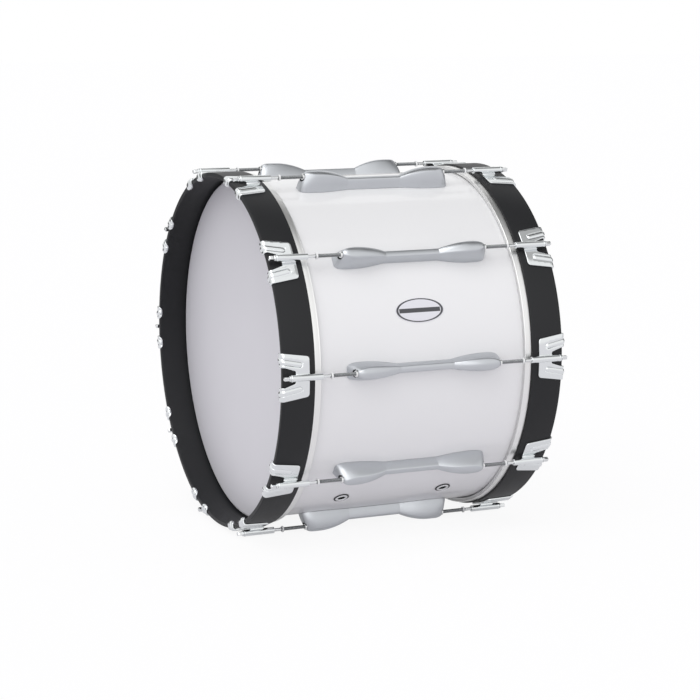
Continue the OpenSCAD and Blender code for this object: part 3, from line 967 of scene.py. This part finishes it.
def rolled_aluminium():
    """Aluminium channel, rolled into a ring and clear anodised: silver with fine lines that run
    round it, drawn coarser than the real hair-fine ones so that they show"""
    material, tree = new_material("rolled_anodised_aluminium")
    lines = lines_round(tree, 0.8, 2)
    dull = add_node(tree, "MapRange", {"To Min": 0.28, "To Max": 0.42, "Value": lines})
    relief = add_node(tree, "Bump", {"Strength": 0.2, "Distance": 0.02 * MM, "Height": lines})
    shader = add_node(
        tree, "BsdfPrincipled",
        {"Base Color": rgba("#EEEEED"), "Metallic": 1.0, "Roughness": dull, "Normal": relief})
    return finished(material, shader)


def cast_aluminium():
    """Die-cast aluminium, tumbled and satin finished: soft grey sheen with an even grit, drawn
    coarser than real so that it shows. The walls of the rod pockets near their mouths are painted
    dark, a painted shade that draws a dark line round each nut"""
    material, tree = new_material("satin_die_cast_aluminium")
    at_rod, from_rod = ring_coordinates(tree, (ROD_R, 0, 0))
    parts = add_node(tree, "SeparateXYZ", {0: at_rod})
    along = add_node(tree, "Math", {0: parts.outputs["Z"]}, operation="ABSOLUTE")
    # Painted shade: the pocket walls near each mouth get a dark colour, which stands for the shade
    # in the gap round each nut
    mouth = add_node(tree, "Math", {0: along, 1: LUG_HALF - 6 * MM}, operation="GREATER_THAN")
    near = add_node(tree, "Math", {0: from_rod, 1: MOUTH_R + 0.05 * MM}, operation="LESS_THAN")
    pocket_shade_mask = add_node(tree, "Math", {0: mouth, 1: near}, operation="MULTIPLY")
    metal = add_node(
        tree, "Mix", {"A": rgba("#C6C9CD"), "B": rgba("#3A3C3E"), "Factor": pocket_shade_mask},
        data_type="RGBA")
    local = add_node(tree, "TexCoord").outputs["Object"]
    tumble = add_node(tree, "TexNoise", {"Scale": per(14), "Detail": 3, "Vector": local})
    dull = add_node(tree, "MapRange", {"To Min": 0.30, "To Max": 0.40, "Value": tumble})
    grit = add_node(tree, "TexNoise", {"Scale": per(0.7), "Detail": 2, "Vector": local})
    relief = add_node(tree, "Bump", {"Strength": 0.25, "Distance": 0.02 * MM, "Height": grit})
    shader = add_node(
        tree, "BsdfPrincipled",
        {"Metallic": 1.0, "Base Color": metal, "Roughness": dull, "Normal": relief})
    return finished(material, shader)


def plated(name, colour, roughness, smear):
    """Chrome or nickel plate on polished metal: a mirror, with faint wipe marks that dull it"""
    material, tree = new_material(name)
    local = add_node(tree, "TexCoord").outputs["Object"]
    marks = add_node(
        tree, "TexNoise", {"Scale": per(6), "Detail": 3, "Distortion": 0.4, "Vector": local})
    dull = add_node(
        tree, "MapRange", {"To Min": roughness, "To Max": roughness + smear, "Value": marks})
    shader = add_node(
        tree, "BsdfPrincipled", {"Base Color": rgba(colour), "Metallic": 1.0, "Roughness": dull})
    return finished(material, shader)


def plated_rod(rod):
    """Nickel plate on a steel rod: bright on the key, the collar and the plain shank, while the
    rolled thread is dull and painted darker, a painted shade that stands for the shade between its
    turns"""
    material, tree = new_material("nickel_plated_steel")
    local = add_node(tree, "TexCoord").outputs["Object"]
    parts = add_node(tree, "SeparateXYZ", {0: local})
    end = ROD_TIP + rod.thread_length
    plain = add_node(
        tree, "MapRange", {"From Min": end, "From Max": end + 1 * MM, "Value": parts.outputs["Z"]})
    marks = add_node(tree, "TexNoise", {"Scale": per(5), "Detail": 3, "Vector": local})
    # Painted shade: the threaded stretch gets darker greys, which stand for the shade between the
    # turns of the thread
    film = add_node(
        tree, "Mix", {"A": rgba("#8E9092"), "B": rgba("#A2A4A5"), "Factor": marks},
        data_type="RGBA")
    tone = add_node(
        tree, "Mix", {"B": rgba("#E2E4E5"), "Factor": plain, "A": film}, data_type="RGBA")
    dull = add_node(tree, "MapRange", {"To Min": 0.26, "To Max": 0.10, "Value": plain})
    shader = add_node(
        tree, "BsdfPrincipled", {"Metallic": 1.0, "Base Color": tone, "Roughness": dull})
    return finished(material, shader)


def moulded_nylon(name, colour, roughness):
    """Moulded nylon: waxy, dull and slightly uneven, coarser than real so that it shows"""
    material, tree = new_material(name)
    local = add_node(tree, "TexCoord").outputs["Object"]
    skin = add_node(tree, "TexNoise", {"Scale": per(1.5), "Detail": 2, "Vector": local})
    relief = add_node(tree, "Bump", {"Strength": 0.2, "Distance": 0.03 * MM, "Height": skin})
    shader = add_node(
        tree, "BsdfPrincipled",
        {"Base Color": rgba(colour), "Roughness": roughness, "IOR": 1.53, "Normal": relief})
    return finished(material, shader)


def printed_badge(trim, print_colour):
    """Anodised plate with a screen print under clear coat: white, with a thin dark border and a
    plain dark band"""
    material, tree = new_material("printed_badge_plate")
    local = add_node(tree, "TexCoord").outputs["Object"]
    parts = add_node(tree, "SeparateXYZ", {0: local})
    half_length, half_width = trim.badge_length / 2, trim.badge_width / 2
    scaled = add_node(
        tree, "VectorMath", {0: local, 1: (0, 1 / half_width, 1 / half_length)},
        operation="MULTIPLY")
    oval = add_node(tree, "VectorMath", {0: scaled}, operation="LENGTH")
    edge_in = add_node(tree, "MapRange", {"From Min": 0.88, "From Max": 0.885, "Value": oval})
    edge_out = add_node(tree, "MapRange", {"From Min": 0.975, "From Max": 0.97, "Value": oval})
    border = add_node(tree, "Math", {0: edge_in, 1: edge_out}, operation="MULTIPLY")
    height = add_node(tree, "Math", {0: parts.outputs["Y"]}, operation="ABSOLUTE")
    band_high = add_node(
        tree, "MapRange", {"From Min": 3.3 * MM, "From Max": 3.1 * MM, "Value": height})
    reach = add_node(tree, "Math", {0: parts.outputs["Z"]}, operation="ABSOLUTE")
    band_long = add_node(
        tree, "MapRange", {"From Min": 32.2 * MM, "From Max": 32 * MM, "Value": reach})
    band = add_node(tree, "Math", {0: band_high, 1: band_long}, operation="MULTIPLY")
    ink = add_node(tree, "Math", {0: border, 1: band}, operation="MAXIMUM")
    colour = add_node(
        tree, "Mix", {"A": rgba("#E4E4EA"), "B": rgba(print_colour), "Factor": ink},
        data_type="RGBA")
    shader = add_node(
        tree, "BsdfPrincipled",
        {"Roughness": 0.3, "Coat Weight": 0.5, "Coat Roughness": 0.08, "Base Color": colour})
    return finished(material, shader)


# Operators


def settings():
    """The drum's sizes and colours"""
    return bpy.context.scene.bass_drum


def coat(mesh, material):
    """Gives a whole mesh one material"""
    mesh.materials.clear()
    mesh.materials.append(material)


def all_places():
    """Side and index of each claw and rod"""
    return [(side, index) for side in SIDES for index in range(1, COUNT + 1)]


def dress(names, material):
    """Gives CAD nodes their material"""
    for name in names:
        coat(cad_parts[name].data, material)


class BASSDRUM_OT_shell(Operator):
    """Lacquer the shell"""

    bl_idname = "bassdrum.shell"
    bl_label = "Shell"

    def execute(self, context):
        dress(["shell"], lacquered_maple(settings().finish.lacquer))
        return {"FINISHED"}


class BASSDRUM_OT_hoops(Operator):
    """Lacquer the two wood hoops"""

    bl_idname = "bassdrum.hoops"
    bl_label = "Hoops"

    def execute(self, context):
        mesh = ring_mesh(hoop_profile(settings().rings), "wood_hoop")
        coat(mesh, black_lacquered_maple(settings().finish.hoop))
        for side in SIDES:
            add_piece(f"{side}_wood_hoop", mesh, place(1, side), f"{side}_rim",
                      [f"{side}_hoop"])
        return {"FINISHED"}


class BASSDRUM_OT_heads(Operator):
    """Finish the two film heads and their flesh hoops"""

    bl_idname = "bassdrum.heads"
    bl_label = "Heads"

    def execute(self, context):
        dress([f"{side}_head" for side in SIDES], polyester_film(settings().finish.film))
        mesh = ring_mesh(flesh_hoop_profile(settings().rings), "rolled_flesh_hoop", 50)
        coat(mesh, rolled_aluminium())
        for side in SIDES:
            add_piece(f"{side}_rolled_flesh_hoop", mesh, place(1, side), f"{side}_rim",
                      [f"{side}_flesh_hoop"])
        return {"FINISHED"}


class BASSDRUM_OT_lugs(Operator):
    """Add the ten bridge lugs, with their nuts and screws"""

    bl_idname = "bassdrum.lugs"
    bl_label = "Lugs"

    def execute(self, context):
        mesh = lug_mesh(settings().lug)
        coat(mesh, cast_aluminium())
        for index in range(1, COUNT + 1):
            add_piece(f"bridge_lug_{index}", mesh, place(index), "drum",
                      [f"lug_{index}"])
        dress(["swivel_nuts"], plated("nickel_plated_brass", "#EBECEC", 0.10, 0.08))
        dress(["lug_screws"], plated("zinc_plated_steel", "#9DA0A3", 0.35, 0.10))
        return {"FINISHED"}


class BASSDRUM_OT_claws(Operator):
    """Add the twenty claws"""

    bl_idname = "bassdrum.claws"
    bl_label = "Claws"

    def execute(self, context):
        mesh = claw_mesh(settings().claw, settings().rod)
        coat(mesh, plated("chrome_plated_steel", "#E6E9EA", 0.06, 0.06))
        for side, index in all_places():
            add_piece(f"{side}_hoop_claw_{index}", mesh, place(index, side), f"{side}_rim",
                      [f"{side}_claw_{index}"])
        return {"FINISHED"}


class BASSDRUM_OT_rods(Operator):
    """Add the twenty tension rods and their nylon washers"""

    bl_idname = "bassdrum.rods"
    bl_label = "Tension rods"

    def execute(self, context):
        rod = settings().rod
        body = rod_mesh(rod)
        coat(body, plated_rod(rod))
        washer = washer_mesh(rod, ClawForm(settings().claw).barrel_start)
        coat(washer, moulded_nylon("natural_nylon", "#F1F2F2", 0.35))
        for side, index in all_places():
            node, where = f"{side}_rod_{index}", place(index, side)
            add_piece(f"{side}_tension_rod_{index}", body, where, f"{node}_body",
                      [node])
            add_piece(f"{side}_rod_washer_{index}", washer, where, f"{node}_body")
        return {"FINISHED"}


class BASSDRUM_OT_vents(Operator):
    """Add the two air vents"""

    bl_idname = "bassdrum.vents"
    bl_label = "Air vents"

    def execute(self, context):
        trim = settings().trim
        eyelet, ring = eyelet_mesh(trim), vent_ring_mesh(trim)
        coat(eyelet, plated("nickel_plated_eyelet", "#DEDFE1", 0.12, 0.08))
        coat(ring, moulded_nylon("black_nylon", "#131416", 0.42))
        for side, sign in zip(SIDES, (1, -1)):
            matrix = turned(-trim.vent_angle) @ Matrix.Translation(
                (0, 0, sign * trim.vent_spacing / 2))
            add_piece(f"{side}_vent_eyelet", eyelet, matrix, "drum", ["vents"])
            add_piece(f"{side}_vent_ring", ring, matrix, "drum")
        return {"FINISHED"}


class BASSDRUM_OT_badge(Operator):
    """Add the plain oval badge"""

    bl_idname = "bassdrum.badge"
    bl_label = "Badge"

    def execute(self, context):
        trim = settings().trim
        mesh = badge_mesh(trim)
        coat(mesh, printed_badge(trim, settings().finish.print_dark))
        add_piece("oval_badge", mesh, turned(trim.badge_angle), "drum")
        return {"FINISHED"}


class BASSDRUM_OT_stage(Operator):
    """Set up the floor, the lights and the camera"""

    bl_idname = "bassdrum.stage"
    bl_label = "Stage"

    def execute(self, context):
        add_floor()
        add_world(context.scene)
        for name, light, corners in CARDS:
            add_card(name, light, corners)
        add_lamp("key_light", (0.35, -0.45, 0.85), 0.85, 50)
        add_lamp("fill_light", (0.9, -0.35, 0.15), 0.5, 60)
        add_camera(context.scene)
        context.scene.view_settings.view_transform = "Standard"
        return {"FINISHED"}


def seen_directly(tree):
    """1 for rays from the camera, a mirror or glass, and 0 for light that falls on things"""
    path = add_node(tree, "LightPath")
    shown = path.outputs["Is Camera Ray"]
    for name in ("Is Glossy Ray", "Is Transmission Ray"):
        shown = add_node(tree, "Math", {0: shown, 1: path.outputs[name]}, operation="MAXIMUM")
    return shown


def add_flat(name, corners):
    """A new object with one flat face"""
    bm = bmesh.new()
    bm.faces.new([bm.verts.new(corner) for corner in corners])
    mesh = bpy.data.meshes.new(name)
    bm.to_mesh(mesh)
    bm.free()
    return add_object(name, mesh)


def add_floor():
    """A plain white floor that keeps a faint shadow of the drum. Mirrors and the camera see part
    of it as glowing white, which keeps it even"""
    reach = 30
    floor = add_flat(
        "floor", [(-reach, -reach, 0), (reach, -reach, 0), (reach, reach, 0), (-reach, reach, 0)])
    material, tree = new_material("white_studio_floor")
    paper = add_node(tree, "BsdfDiffuse", {"Color": rgba("#E6E4E9")})
    glow = add_node(tree, "Emission", {"Strength": 1.03})
    path = add_node(tree, "LightPath")
    mirrored = add_node(
        tree, "Math", {0: path.outputs["Is Glossy Ray"], 1: path.outputs["Is Transmission Ray"]},
        operation="MAXIMUM")
    glow_in_mirrors, glow_in_camera = 0.35, 0.88
    dimmed = add_node(tree, "Math", {0: mirrored, 1: glow_in_mirrors}, operation="MULTIPLY")
    share = add_node(
        tree, "Math", {0: path.outputs["Is Camera Ray"], 1: glow_in_camera, 2: dimmed},
        operation="MULTIPLY_ADD")
    mixed = add_node(tree, "MixShader", {0: share, 1: paper, 2: glow})
    floor.data.materials.append(finished(material, mixed))


# Cards round the drum: name, light and corners in metres
CARDS = (
    ("dark_ceiling", 0.15, [(-0.9, -0.5, 2.5), (-0.9, 3, 2.5), (0.5, 3, 2.5), (0.5, -0.5, 2.5)]),
    ("grey_ceiling", 0.5, [(0.5, 0.84, 2.5), (0.5, 3, 2.5), (1.7, 3, 2.5), (1.7, 0.84, 2.5)]),
    ("right_wall", 0.15, [(-3, 3.2, 0), (0.5, 3.2, 0), (0.5, 3.2, 2.4), (-3, 3.2, 2.4)]),
    ("back_wall", 0.18, [(-3, -3, 0), (-3, 4, 0), (-3, 4, 1), (-3, -3, 1)]),
)


def add_card(name, light, corners):
    """A dark or grey card that only mirrors see, to give metal its dark side"""
    card = add_flat(name, corners)
    for ray in ("camera", "diffuse", "transmission", "volume_scatter", "shadow"):
        setattr(card, f"visible_{ray}", False)
    material, tree = new_material(f"{name}_cloth")
    shade = add_node(tree, "Emission", {"Strength": light})
    card.data.materials.append(finished(material, shade))


def add_world(scene):
    """An even soft light, behind which the camera and mirrors see plain white"""
    world = bpy.data.worlds.new("studio")
    scene.world = world
    world.use_nodes = True
    tree = world.node_tree
    tree.nodes.clear()
    soft = add_node(tree, "Background", {"Color": rgba("#F6F6F7"), "Strength": 0.75})
    white = add_node(tree, "Background", {"Color": (1, 1, 1, 1), "Strength": 1.0})
    mixed = add_node(tree, "MixShader", {0: seen_directly(tree), 1: soft, 2: white})
    add_node(tree, "OutputWorld", {"Surface": mixed})


def add_lamp(name, towards, strength, degrees):
    """A broad, even lamp that shines from a direction"""
    data = bpy.data.lights.new(name, "SUN")
    data.energy = strength
    data.angle = math.radians(degrees)
    lamp = add_object(name, data)
    lamp.rotation_euler = Vector(towards).to_track_quat("Z", "Y").to_euler()
    lamp.location = Vector(towards) * 3


def add_camera(scene):
    """The photograph's viewpoint, worked out from the hoops' edges and the rods' ends in it"""
    data = bpy.data.cameras.new("camera")
    data.sensor_width = 36
    data.lens = 108.64
    camera = add_object("camera", data)
    stands = Vector((2.92105, -1.28705, 0.76602))
    looks_at = Vector((0.20956, -0.09407, 0.29207))
    roll = math.radians(-0.214)
    turn = (stands - looks_at).to_track_quat("Z", "Y").to_matrix() @ Matrix.Rotation(roll, 3, "Z")
    camera.matrix_world = Matrix.Translation(stands) @ turn.to_4x4()
    scene.camera = camera


OPERATORS = (
    BASSDRUM_OT_shell, BASSDRUM_OT_hoops, BASSDRUM_OT_heads, BASSDRUM_OT_lugs,
    BASSDRUM_OT_claws, BASSDRUM_OT_rods, BASSDRUM_OT_vents, BASSDRUM_OT_badge,
    BASSDRUM_OT_stage,
)


class BASSDRUM_PT_panel(Panel):
    """Buttons for the drum's pieces"""

    bl_label = "Bass Drum"
    bl_idname = "BASSDRUM_PT_panel"
    bl_space_type = "VIEW_3D"
    bl_region_type = "UI"
    bl_category = "Bass Drum"

    def draw(self, context):
        for operator in OPERATORS:
            self.layout.operator(operator.bl_idname)


CLASSES = (
    DrumFinish, RingSizes, LugSizes, ClawSizes, RodSizes, TrimSizes, DrumSettings, *OPERATORS,
    BASSDRUM_PT_panel,
)


def register():
    for cls in CLASSES:
        bpy.utils.register_class(cls)
    bpy.types.Scene.bass_drum = PointerProperty(type=DrumSettings)


def unregister():
    del bpy.types.Scene.bass_drum
    for cls in reversed(CLASSES):
        bpy.utils.unregister_class(cls)


def main():
    register()
    bpy.ops.bassdrum.stage()
    bpy.ops.bassdrum.shell()
    bpy.ops.bassdrum.hoops()
    bpy.ops.bassdrum.heads()
    bpy.ops.bassdrum.lugs()
    bpy.ops.bassdrum.claws()
    bpy.ops.bassdrum.rods()
    bpy.ops.bassdrum.vents()
    bpy.ops.bassdrum.badge()


if __name__ == "__main__":
    main()
